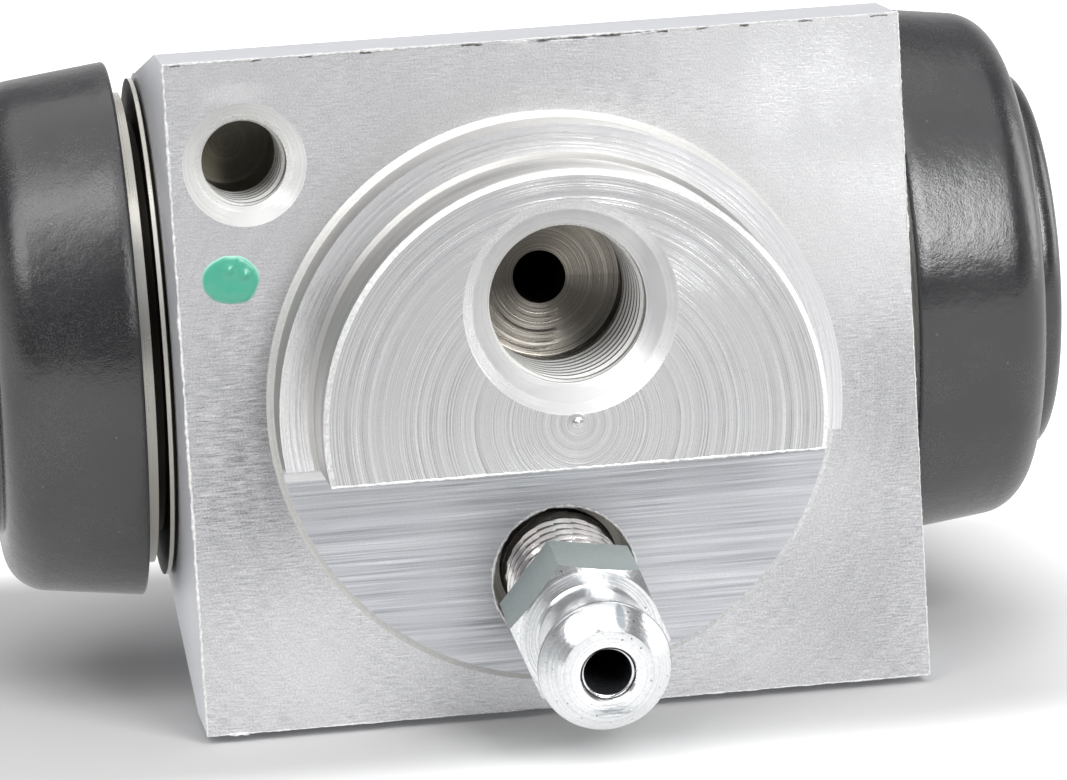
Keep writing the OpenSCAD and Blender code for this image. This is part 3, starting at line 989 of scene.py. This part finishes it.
    def burrs(self) -> None:
        """Adds edge, step and counterbore burrs, nicks painted dark as shade, and a foot strip of painted
        light.
        """
        material = MetalFinish("burr", (0.50, 0.50, 0.49), (1.0, 1.0, 0.99), 0.38,
                               (GrainMarks(0.25, 1.6, 20.0, 0.3),), metallic=0.4).build()
        x, top, low = self.side_x, self.top_z, self.bottom_z
        edges = [((-x, 0, top), (-5.0, 0, top), 0.12), ((-5.0, 0, top), (x, 0, top), 0.07),
                 ((x, 0, top), (x, 0, low), 0.07),
                 ((x, 0, low), (-x, 0, low), 0.06), ((-x, 0, low), (-x, 0, top), 0.11)]
        chips = [((x - 0.8, 0, top), (x, 0, top), 0.13), ((x, 0, top), (x, 0, top - 0.8), 0.12),
                 ((x, 0, 13.2), (x, 0, 12.5), 0.12), ((x, 0, 8.9), (x, 0, 8.0), 0.13),
                 ((-x, 0, 16.0), (-x, 0, 14.9), 0.15), ((-x, 0, 6.2), (-x, 0, 5.0), 0.15),
                 ((-x, 0, -5.1), (-x, 0, -6.4), 0.14), ((-19.9, 0, low), (-18.8, 0, low), 0.12),
                 ((0.9, 0, top), (4.8, 0, top), 0.09), ((-12.0, 0, top), (-10.4, 0, top), 0.09)]
        flange = [self.edge_burr(f"edge_{i}", edge_line(a, b), size, i)
                  for i, (a, b, size) in enumerate(edges + chips)]
        self.attach(join("flange_edge_burr", flange), material)
        # Painted shade: the nicks of the top edge are dark beads, whose near-black colour stands in for the
        # shade inside real nicks.
        dark = MetalFinish("nick", (0.03, 0.03, 0.028), (0.30, 0.29, 0.27), 0.5,
                           (GrainMarks(0.2, 1.2, 12.0, 0.4),)).build()
        out, height, nick_r, first_seed, nick_gaps = -0.04, top - 0.1, 0.08, 20, 0.45
        cuts = [self.edge_burr(f"nick_{i}", edge_line((a, out, height), (b, out, height)), nick_r,
                               first_seed + i, nick_gaps) for i, (a, b) in enumerate(self.nicks)]
        self.attach(join("flange_edge_nicks", cuts), dark)
        chord = math.sqrt(self.boss_r ** 2 - self.step_z ** 2)
        ledge = edge_line((-chord, -self.boss_h, self.step_z), (chord, -self.boss_h, self.step_z))
        self.attach(self.edge_burr("step_edge_burr", ledge, 0.085, 9, 0.2), material)
        # Painted light: a pale, non-metallic strip along the lower right of the spigot's foot, covering the
        # shaded line there.
        foot = edge_arc((0.0, -0.06, 0.0), 1.0, self.spigot_r + 0.06, -88.0, -9.0)
        pale = MetalFinish("foot_painted_light", (0.86, 0.86, 0.87), (1.0, 1.0, 1.0), 0.5,
                           (GrainMarks(0.2, 1.0, 12.0, 0.3),), metallic=0.0).build()
        self.attach(self.edge_burr("foot_painted_light", foot, 0.05, 12, 0.3), pale)
        stretch = 1 / math.cos(math.radians(self.bleed_tilt))
        mouth = edge_arc(self.bleed, stretch, self.cbore_r + 0.02, 0.0, 360.0)
        self.attach(self.edge_burr("counterbore_burr", mouth, 0.11, 5, 0.2), material)

    def paint_dab(self) -> None:
        """Adds the dab of green paint below the mounting hole."""
        finish = PaintFinish("inspection_paint", (0.075, 0.37, 0.255), (0.34, 0.64, 0.53), self.dab_t, 0.2)
        around, rings_count = 96, 16
        drop_h, drop_spread, tail_at, tail_width = 0.11, 0.06, 5.35, 0.35
        centre = Vector((self.dab[0], 0.0, self.dab[1]))
        rings = []
        for k in range(1, rings_count + 1):
            share = k / rings_count
            ring = []
            for i in range(around):
                angle = TAU * i / around
                ray = Vector((math.cos(angle) * self.dab_half[0], 0.0, math.sin(angle) * self.dab_half[1]))
                right = max(0.0, math.cos(angle + 0.3))
                lobes = 1 + 0.02 * math.cos(2 * angle) + 0.014 * right * math.cos(9 * angle)
                tail = 0.09 * math.exp(-((angle - tail_at) / tail_width) ** 2)
                lobes += tail + 0.05 * noise.noise(ray * 1.3)
                point = centre + ray * share * lobes
                lump = 1 + 0.3 * noise.noise(point * 1.4)
                drops = sum(drop_h * math.exp(-((point.x - x) ** 2 + (point.z - z) ** 2) / drop_spread)
                            for x, z in self.dab_drops)
                point.y = -(self.dab_t * lump + drops) * math.sqrt(max(0.0, 1 - share ** 5))
                ring.append(point)
            rings.append(ring)
        rings.append([Vector((p.x, 0.02, p.z)) for p in rings[-1]])
        self.attach(loft("paint_dab", rings, caps=True, crease=80.0), finish.build(), slot=None)

    def pip(self) -> None:
        """Adds the pip that the turning tool leaves in the middle of the raised face."""
        around = 40
        rises = [(2.4, -0.01), (2.1, 0.012), (1.7, 0.0), (1.3, 0.012), (1.0, 0.03), (0.75, 0.09),
                 (0.4, 0.12), (0.1, 0.125)]
        across, up, out = Vector((1, 0, 0)), Vector((0, 0, 1)), Vector((0, -1, 0))
        rings = [[out * (self.boss_h + rise) + self.pip_r * share * (across * c + up * s)
                  for c, s in unit_circle(around)] for share, rise in rises]
        finish = MetalFinish("pip", (0.34, 0.34, 0.34), (0.84, 0.84, 0.84), 0.32,
                             (TurnedMarks(Axis((0.0, 0.0, 0.0)), 0.10, 0.9, 4.0),))
        self.attach(loft("turning_pip", rings, caps=True, crease=60.0), finish.build())

    def build(self) -> None:
        """Dresses the solid and adds what it carries."""
        dress(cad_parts[self.node], self.finishes(), self.zone_of)
        LOG.info("%s dressed in %d finishes", self.node, len(Zone))
        flanks = MetalFinish("tapped_flanks", (0.70, 0.695, 0.68), (1.0, 1.0, 0.985), 0.30,
                             (GrainMarks(0.12, 0.8, 8.0, 0.4),), metallic=0.25)
        # Painted shade: dark crests draw the shaded lines between the bright flanks.
        crests = MetalFinish("crests_painted_shade", (0.10, 0.095, 0.085), (0.45, 0.44, 0.41), 0.34,
                             (GrainMarks(0.12, 0.9, 8.0, 0.4),))
        tapped = (flanks.build(), crests.build())
        self.thread("port_thread", self.port, self.port_r, self.port_wall, self.port_thread_h, tapped)
        self.thread("mounting_thread", self.mount, self.mount_r, self.mount_tapped, self.mount_thread_h,
                    tapped)
        self.burrs()
        self.pip()
        self.paint_dab()


@dataclass
class BleedScrew:
    """Zinc-plated bleed screw with its real thread, hexagon, barb and drilled tip."""

    base: Triple = BLEED_AT
    tilt: float = BLEED_TILT
    thread_r: float = 3.45
    root_r: float = 2.92
    pitch: float = 1.0
    thread_depth: float = 8.5
    thread_out: float = 5.35
    seat_neck_r: float = 2.6
    seat_r: float = 1.1
    seat_gap: float = 0.2
    hex_af: float = 8.0
    hex_t: float = 4.65
    hex_bite: float = 0.1
    hex_turn: float = -9.0
    neck_r: float = 3.05
    neck_fillet: float = 0.12
    neck_l: float = 3.85
    barb_r: float = 3.775
    barb_band: float = 0.3
    barb_l: float = 1.4
    tip_r: float = 2.6
    hole_r: float = 1.46
    hole_c: float = 0.16
    hole_end: float = -6.0
    ledge: float = 0.1
    around: int = 120
    node: str = "bleed_screw"
    slot: str = "plated_steel"

    @property
    def hex_top(self) -> float:
        """Height of the hexagon's outer end."""
        return self.thread_out + self.hex_t

    def ring(self, radius: Callable[[float], float], height: Callable[[float], float]) -> Ring:
        """Gives one ring of points about the screw's axis.

        Args:
            radius: Radius at an angle in radians.
            height: Height at an angle in radians.

        Returns:
            The ring.
        """
        turn = math.radians(self.hex_turn)
        angles = [turn + TAU * i / self.around for i in range(self.around)]
        return [Vector((radius(a) * math.cos(a), radius(a) * math.sin(a), height(a))) for a in angles]

    def round(self, radius: float, height: float) -> Ring:
        """Gives a plain round ring."""
        return self.ring(lambda angle: radius, lambda angle: height)

    def thread_rings(self) -> list[Ring]:
        """Gives the rings of the thread, from its lower end to the hexagon."""
        start = -self.thread_depth + self.thread_r - self.seat_neck_r
        clear, rings_per_mm, fade_out, fade_in, least = 0.12, 20, 0.35, 0.5, 0.05
        root_share, flank_share = 0.08, 0.78
        end = self.thread_out - clear
        count = int((end - start) * rings_per_mm)
        rings = []
        for i in range(count + 1):
            height = start + (end - start) * i / count
            fade = min(1.0, (end - height) / fade_out + least, (height - start) / fade_in + least)

            def radius(angle: float, height: float = height, fade: float = fade) -> float:
                """Radius of the thread at an angle."""
                wave = abs(((height / self.pitch - angle / TAU) % 1.0) * 2 - 1)
                crest = min(1.0, max(0.0, (wave - root_share) / flank_share))
                return self.root_r + (self.thread_r - self.root_r) * crest * fade

            rings.append(self.ring(radius, lambda angle, height=height: height))
        return rings

    def hexagon_rings(self) -> list[Ring]:
        """Gives the rings of the chamfered hexagon."""
        flat = self.hex_af / 2
        face_r = flat - self.hex_bite / 2
        top = self.hex_top
        turn = math.radians(self.hex_turn)

        def across(angle: float) -> float:
            """Radius of the hexagon at an angle."""
            return flat / math.cos((angle - turn) % (TAU / 6) - TAU / 12)

        def edge(angle: float) -> float:
            """Height of the chamfer's edge at an angle."""
            return top - (across(angle) - face_r) * math.tan(math.radians(30))

        return [self.ring(across, lambda angle: self.thread_out),
                self.ring(across, edge), self.round(face_r, top)]

    def mesh(self) -> Piece:
        """Skins the screw from its seat to the bottom of its drilled hole.

        Returns:
            The screw, along its local Z axis.
        """
        top = self.hex_top
        barb = top + self.neck_l + self.barb_r - self.neck_r
        tip = barb + self.barb_band + self.barb_l
        cone_top = -self.thread_depth - self.seat_gap
        taper = [i / 8 for i in range(1, 9)]
        below = [(self.seat_r, cone_top - self.seat_neck_r + self.seat_r), (self.seat_neck_r, cone_top),
                 (self.seat_neck_r, -self.thread_depth)]
        above = [(self.neck_r + self.neck_fillet, top), (self.neck_r, top + self.neck_fillet),
                 (self.neck_r, top + self.neck_l),
                 (self.neck_r + 0.08, top + self.neck_l + 0.06), (self.barb_r - 0.10, barb - 0.10),
                 (self.barb_r - 0.02, barb), (self.barb_r, barb + self.barb_band / 2),
                 (self.barb_r - 0.03, barb + self.barb_band)]
        above += [(self.barb_r + (self.tip_r + 0.06 - self.barb_r) * share + 0.05 * math.sin(math.pi * share),
                   barb + self.barb_band + (self.barb_l - 0.05) * share) for share in taper]
        above += [(self.tip_r, tip), (self.hole_r + self.hole_c, tip), (self.hole_r + 0.03, tip - 0.14),
                  (self.hole_r, tip - 0.25), (self.hole_r, tip - 0.42),
                  (self.hole_r - self.ledge, tip - 0.46), (self.hole_r - self.ledge, self.hole_end)]
        rings = [self.round(*size) for size in below] + self.thread_rings() + self.hexagon_rings()
        rings += [self.round(*size) for size in above]
        return loft("bleed_screw_threaded", rings, caps=True, crease=28.0)

    def finishes(self) -> dict[Plating, MetalFinish]:
        """Gives the finish of each part of the screw."""
        axis = Axis((0.0, 0.0, 0.0), (0.0, 0.0, 1.0))
        looks = {
            Plating.PLATE: ((0.34, 0.37, 0.39), (1.0, 1.0, 1.0), 0.24, (
                TurnedMarks(axis, 0.12, 0.8, 8.0), GrainMarks(0.18, 0.5, 8.0, 0.4),
                ToneSpot((0.0, 0.0, 13.0), (14.0, 14.0, 14.0), 0.22),
                # Dark, scratched streak right of the cone's top: the scratches are marks, the darkness a
                # painted reflection of the dark room to the upper right.
                ToneSpot((0.85, 3.0, 15.5), (0.34, 1.2, 1.2), -2.2, 5.0),
                # Painted highlight on the cone's top, left of the streak.
                ToneSpot((-0.3, 3.0, 15.5), (2.0, 1.5, 1.6), 0.3),
                # Painted shade: the left of the cone darker, against the left lamps.
                ToneSpot((-3.2, 1.0, 15.0), (1.6, 2.0, 1.6), -0.35),
                ToneSpot((0.2, -2.1, 16.3), (1.7, 0.6, 0.6), -0.7, 4.0),
                ToneSpot((0.0, 0.0, 16.4), (3.0, 3.0, 0.5), 0.4)), 1.0, (0.10, 0.26, (0.16, 0.165, 0.18))),
            Plating.FLATS: ((0.38, 0.44, 0.43), (0.68, 0.745, 0.735), 0.42, (
                BrushMarks(0.5, 0.5, 0.5, 4.0), GrainMarks(0.16, 0.4, 4.0, 0.4)), 0.7),
            Plating.THREAD: ((0.55, 0.51, 0.49), (1.0, 0.98, 0.97), 0.18, (
                TurnedMarks(axis, 0.12, 0.5, 3.0), GrainMarks(0.25, 0.5, 4.0, 0.5))),
            # Painted shade: dark inside of the drilled hole, with scattered pale specks.
            Plating.HOLLOW: ((0.030, 0.032, 0.040), (0.17, 0.175, 0.20), 0.35, (
                TurnedMarks(axis, 0.12, 0.7, 5.0), GrainMarks(0.2, 1.2, 9.0, 0.5)), 0.75,
                (0.12, 0.3, (0.6, 0.63, 0.7))),
            Plating.ROOTS: ((0.07, 0.065, 0.062), (0.34, 0.32, 0.31), 0.3, (
                TurnedMarks(axis, 0.12, 0.5, 3.0), GrainMarks(0.25, 0.6, 4.0, 0.5))),
        }
        return {part: MetalFinish(part.value, *looks[part]) for part in Plating}

    def part_of(self, centre: Vector, normal: Vector) -> Plating:
        """Tells which part of the screw a face belongs to.

        Args:
            centre: Middle of the face, in millimetres.
            normal: Normal of the face.

        Returns:
            The part.
        """
        radius, height = math.hypot(centre.x, centre.y), centre.z
        if abs(normal.z) < 0.01 and radius > self.hex_af / 2 - 0.02:
            return Plating.FLATS if self.thread_out < height < self.hex_top else Plating.PLATE
        if radius < self.hole_r - 0.8 * self.ledge:
            return Plating.HOLLOW
        # Painted shade: the flanks near the roots take the dark roots finish, drawing shaded lines between
        # the turns.
        if height < self.thread_out:
            return Plating.ROOTS if radius < self.thread_r - 0.2 else Plating.THREAD
        return Plating.PLATE

    def build(self) -> None:
        """Builds, places and dresses the screw."""
        made = self.mesh()
        turn = Matrix.Rotation(math.radians(90 + self.tilt), 4, "X")
        made.matrix_world = Matrix.Translation(Vector(self.base) * MM) @ turn
        dress(made, self.finishes(), self.part_of)
        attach(made, "bleed_screw")
        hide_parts(self.node)
        LOG.info("%s replaces %s", made.name, self.node)


@dataclass
class Boot:
    """Moulded rubber boot between the barrel and its piston."""

    side: Side
    boot_l: float = 8.3
    land_r: float = 14.35
    cavity_r: float = 14.55
    shoulder: float = 15.5
    shoulder_r: float = 2.7
    disc_r: float = 11.75
    disc_edge_r: float = 1.2
    wall: float = 1.5
    bead_w: float = 1.2
    hole_r: float = 7.6
    hole_c: float = 0.3
    nose_bead: Triple = (30.4, 31.6, 7.0)
    lip: float = 0.22
    step_fillet: float = 0.3
    around: int = 180
    slot: str = "boot_rubber"

    @property
    def node(self) -> str:
        """Name of the solid that the boot replaces."""
        return f"{self.side.word}_boot"

    def profile(self) -> list[Pair]:
        """Gives the closed section as distance from the middle and radius.

        Returns:
            The points, from the inner edge of the rim round the outside.
        """
        low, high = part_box(self.node)
        rim, disc = sorted((abs(low.x) / MM, abs(high.x) / MM))
        rim_r = (high.z - low.z) / MM / 2
        end = rim + self.boot_l
        inside = end - self.wall
        lip = self.lip
        points = [(rim, self.land_r + lip), (rim, rim_r - lip)]
        points += arc((rim + lip, rim_r - lip), lip, 180, 95, 4)[1:]
        turned = arc((end - self.shoulder_r, self.shoulder - self.shoulder_r), self.shoulder_r, 82, 0, 14)
        first = turned[0]
        points += [(rim + lip + (first[0] - rim - lip) * i / 8, rim_r + (first[1] - rim_r) * i / 8)
                   for i in range(1, 8)]
        points += turned
        fillet = self.step_fillet
        points += arc((end + fillet, self.disc_r + fillet), fillet, 180, 270, 5)
        points += arc((disc - self.disc_edge_r, self.disc_r - self.disc_edge_r), self.disc_edge_r, 90, 0, 10)
        points += [(disc, self.hole_r + self.hole_c), (disc - self.hole_c, self.hole_r)]
        bead_a, bead_b, bead_r = self.nose_bead
        points += [(bead_b, self.hole_r), (bead_b, bead_r), (bead_a, bead_r), (bead_a, self.hole_r),
                   (inside, self.hole_r), (inside, self.cavity_r - self.shoulder_r),
                   (inside - self.shoulder_r, self.cavity_r), (rim + self.bead_w, self.cavity_r),
                   (rim + self.bead_w, self.land_r), (rim + lip, self.land_r)]
        return points

    def build(self, material: Material) -> None:
        """Builds the boot in place of its solid.

        Args:
            material: Rubber of the boots.
        """
        sign = self.side.value
        rings = []
        for x, radius in self.profile():
            rings.append([Vector((sign * x, BORE_Y + radius * c, BORE_Z + radius * s))
                          for c, s in unit_circle(self.around)])
        made = loft(f"{self.node}_moulded", rings, wrap=True, crease=40.0)
        made.data.materials.append(material)
        low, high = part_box(self.node)
        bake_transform(made)
        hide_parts(self.node)
        LOG.info("%s replaces %s", made.name, self.node)


@dataclass
class ReturnSpring:
    """Coil between the pistons, in two halves."""

    coil_r: float = 4.6
    wire_r: float = 0.6
    turns: float = 8.0
    steps: int = 32
    sides: int = 10
    node: str = "return_spring"
    slot: str = "spring_steel"

    def half(self, side: Side, reach: float) -> Piece:
        """Builds one half of the coil.

        Args:
            side: End of the bore.
            reach: Distance from the middle to the centre of the last turn.

        Returns:
            The half, wound as one coil with the other.
        """
        count = int(self.turns / 2 * self.steps)
        rings = []
        for i in range(count + 1):
            share = i / count
            angle = side.value * TAU * self.turns / 2 * share
            x = side.value * reach * share
            section = [(self.coil_r + self.wire_r * c, x + self.wire_r * s)
                       for c, s in unit_circle(self.sides)]
            rings.append([Vector((along, BORE_Y + out * math.sin(angle), BORE_Z + out * math.cos(angle)))
                          for out, along in section])
        return loft(f"return_spring_{side.word}", rings, caps=True, crease=60.0)

    def build(self) -> None:
        """Builds and dresses both halves."""
        _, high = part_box(self.node)
        reach = high.x / MM - self.wire_r
        material = MetalFinish("spring_wire", (0.22, 0.22, 0.23), (0.55, 0.56, 0.58), 0.32,
                               (GrainMarks(0.2, 0.6, 3.0, 0.5),)).build()
        for side in Side:
            made = self.half(side, reach)
            made.data.materials.append(material)
            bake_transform(made)
            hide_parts(self.node)
            LOG.info("%s replaces half of %s", made.name, self.node)


class Internals:
    """Pistons and seals, which keep their solids and get their finishes."""

    def build(self) -> None:
        """Dresses the pistons and the seals."""
        turned = MetalFinish(
            "turned_piston", (0.46, 0.46, 0.45), (0.82, 0.82, 0.81), 0.28,
            (TurnedMarks(BORE_AXIS, 0.10, 0.6, 5.0), GrainMarks(0.12, 0.3, 3.0))).build()
        rubber = RubberFinish("seal_rubber", (0.012, 0.012, 0.013), (0.02, 0.02, 0.021),
                              (0.10, 0.10, 0.10), 0.4, 0.0).build()
        for side in Side:
            for node, material in ((f"{side.word}_piston", turned), (f"{side.word}_piston_seal", rubber)):
                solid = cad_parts[node]
                solid.data.materials.clear()
                solid.data.materials.append(material)
                LOG.info("%s dressed", node)


@dataclass
class Studio:
    """Pale floor, soft lamps and the camera at the photograph's angle."""

    eye: Triple = (-45.780, -345.021, 56.941)
    forward: Triple = (0.12669, 0.97891, -0.16023)
    up: Triple = (0.07868, 0.15111, 0.98538)
    focal_px: float = 6125.86
    image_w: int = 1067
    sensor: float = 36.0
    floor_half: float = 3.0
    floor_front: float = 0.155
    footprint: tuple[Triple, Triple] = ((-0.0075, 0.022, 0.0), (0.0255, 0.025, 1.0))
    white_reach: Pair = (0.003, 0.020)
    gap: float = 0.0005
    white_stretch: Triple = (0.6, 1.0, 1.0)
    glossy_reach: Pair = (0.15, 0.75)
    glossy_white: Pair = (0.38, 1.0)
    floor_grey: float = 0.56
    horizon: tuple[Triple, Triple] = ((0.12, 0.12, 0.125), (0.80, 0.80, 0.81))
    horizon_span: Pair = (-0.85, 0.1)
    zenith: Triple = (0.30, 0.30, 0.31)
    zenith_span: Pair = (0.12, 0.55)
    lamps: tuple[tuple[str, Triple, Pair, float], ...] = (
        ("overhead", (0.06, 0.03, 0.64), (1.12, 0.62), 1.85),
        ("left_key", (-0.13, -0.20, 0.60), (0.16, 0.16), 0.36),
        ("tip_key", (0.06, -0.25, 0.60), (0.20, 0.16), 0.14),
        ("upper_left", (-0.37, -0.32, 0.52), (0.44, 0.44), 1.8),
        ("front_right", (0.19, -0.49, 0.30), (0.23, 0.42), 3.0),
        ("right_strip", (0.62, 0.12, 0.17), (0.30, 0.40), 1.0),
    )

    def camera(self) -> None:
        """Places the camera."""
        ahead, above = Vector(self.forward).normalized(), Vector(self.up).normalized()
        right = ahead.cross(above).normalized()
        above = right.cross(ahead)
        data = bpy.data.cameras.new("photo_camera")
        data.sensor_fit = "HORIZONTAL"
        data.sensor_width = self.sensor
        data.lens = self.focal_px * self.sensor / self.image_w
        data.clip_start, data.clip_end = 0.01, 20.0
        made = place_in_scene("photo_camera", data)
        turn = Matrix((right, above, -ahead)).transposed().to_4x4()
        made.matrix_world = Matrix.Translation(Vector(self.eye) * MM) @ turn
        bpy.context.scene.camera = made

    def floor(self) -> None:
        """Lays the pale floor just under the lowest point of the part."""
        low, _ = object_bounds()
        half, front = self.floor_half, self.floor_front
        level = low.z - self.gap
        outline = ((-half, -front), (half, -front), (half, half), (-half, half))
        made = skin("floor", [Vector((x, y, level)) for x, y in outline], [(0, 1, 2, 3)])
        graph = Surface("pale_floor", Base_Color=(*[self.floor_grey] * 3, 1.0), Roughness=0.9,
                        Specular_IOR_Level=0.0, Emission_Color=(1.0, 1.0, 1.0, 1.0))
        path = graph.node("ShaderNodeLightPath").outputs
        seen = graph.math("MAXIMUM", path["Is Glossy Ray"], path["Is Transmission Ray"])
        away = graph.vector("LENGTH", graph.metres)
        far = graph.span(away, *self.glossy_reach, *self.glossy_white, smooth=True)
        offset = graph.vector("ABSOLUTE", graph.vector("SUBTRACT", graph.metres, self.footprint[0]))
        offset = graph.vector("SUBTRACT", offset, self.footprint[1])
        offset = graph.vector("MAXIMUM", offset, (0.0, 0.0, 0.0))
        beside = graph.vector("LENGTH", graph.vector("MULTIPLY", offset, self.white_stretch))
        white = graph.math("MULTIPLY", path["Is Camera Ray"],
                           graph.span(beside, *self.white_reach, smooth=True))
        graph.set(Emission_Strength=graph.math("MULTIPLY_ADD", seen, far, white))
        made.data.materials.append(graph.material)
        made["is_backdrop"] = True

    def world(self) -> None:
        """Lights the room: dim before the part, pale behind it, grey above, white to the camera."""
        world = bpy.data.worlds.new("studio")
        bpy.context.scene.world = world
        world.use_nodes = True
        graph = Graph(world.node_tree)
        background = world.node_tree.nodes["Background"]
        direction = graph.node("ShaderNodeTexCoord").outputs["Generated"]
        direction = graph.node("ShaderNodeSeparateXYZ", direction).outputs
        horizon = graph.mix(graph.span(direction["Y"], *self.horizon_span, smooth=True), *self.horizon)
        sky = graph.mix(graph.span(direction["Z"], *self.zenith_span, smooth=True), horizon, self.zenith)
        seen = graph.node("ShaderNodeLightPath").outputs["Is Camera Ray"]
        graph.feed(background.inputs["Color"], graph.mix(seen, sky, (1.0, 1.0, 1.0)))

    def lights(self) -> None:
        """Hangs the soft lamps, aimed at the part."""
        for name, place, size, power in self.lamps:
            data = bpy.data.lights.new(name, "AREA")
            data.shape = "RECTANGLE"
            data.size, data.size_y = size
            data.energy = power
            made = place_in_scene(name, data)
            made.location = place
            made.rotation_mode = "QUATERNION"
            made.rotation_quaternion = (-Vector(place)).to_track_quat("-Z", "Y")
            made.visible_camera = False

    def build(self) -> None:
        """Sets the whole stage."""
        bpy.context.scene.view_settings.view_transform = "Standard"
        self.floor()
        self.world()
        self.lights()
        self.camera()


def main() -> None:
    """Builds and dresses every piece, then the stage."""
    logging.basicConfig(level=logging.INFO, format="%(name)s: %(message)s")
    Effects().build()
    Studio().build()
    Body().build()
    BleedScrew().build()
    rubber = RubberFinish("boot_rubber", (0.008, 0.008, 0.0095), (0.016, 0.016, 0.018),
                          (0.085, 0.083, 0.081), 0.21, 0.6).build()
    for side in Side:
        Boot(side).build(rubber)
    ReturnSpring().build()
    Internals().build()


if __name__ == "__main__":
    main()
